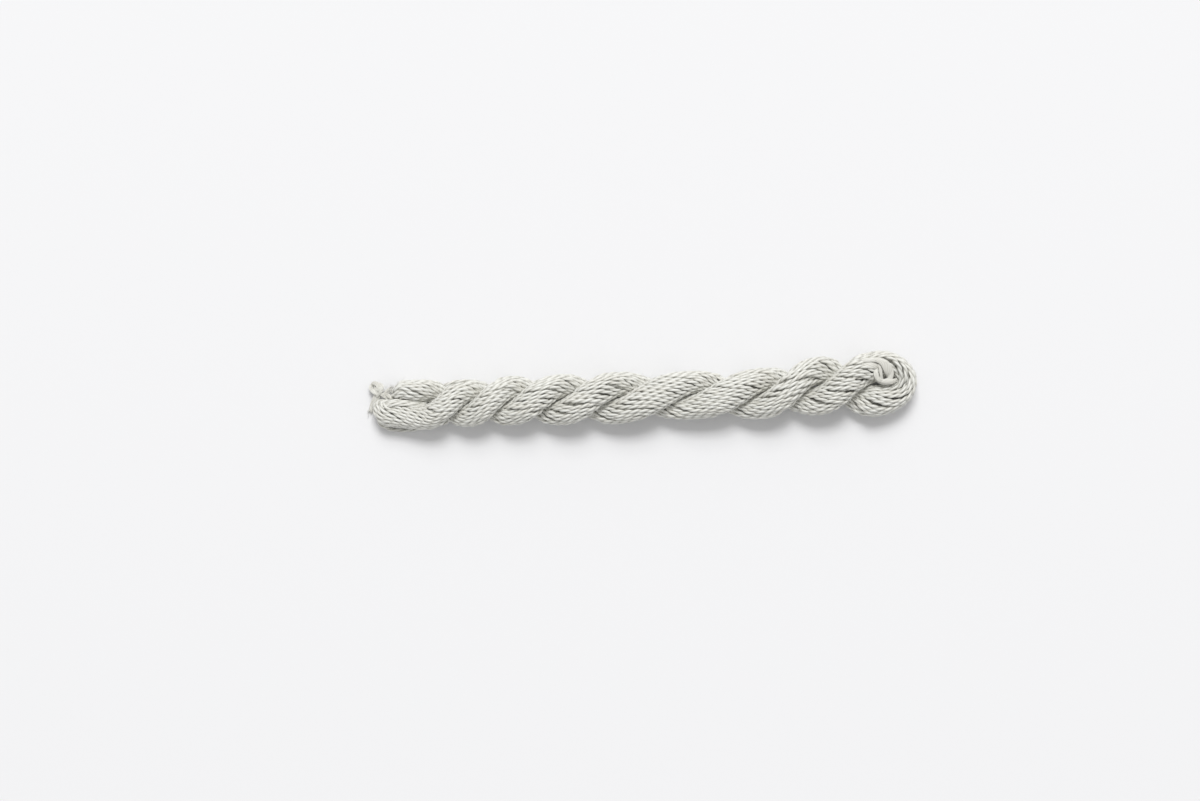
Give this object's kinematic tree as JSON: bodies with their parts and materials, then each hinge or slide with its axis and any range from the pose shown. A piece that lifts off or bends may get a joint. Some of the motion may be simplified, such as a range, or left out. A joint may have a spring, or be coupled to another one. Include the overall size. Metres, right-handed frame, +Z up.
{
  "type": "skein of embroidery floss",
  "caption": "Twisted skein of pale grey-green silk embroidery thread, doubled on itself, with a short tie in its end loops.",
  "frame": {"origin": "centre of the part's footprint on the surface it lies on", "axes": "+X along the skein from its end loops to its fold, +Z up"},
  "size_m": [0.1748, 0.0256, 0.0146],
  "materials": {
    "silk_thread": "two-ply silk thread, soft lustre",
    "silk_tie": "fuzzy silk tie thread"
  },
  "bodies": {
    "root": {"skein": "silk_thread", "end_tie": "silk_tie", "fold_knot": "silk_tie"}
  },
  "joints": []
}
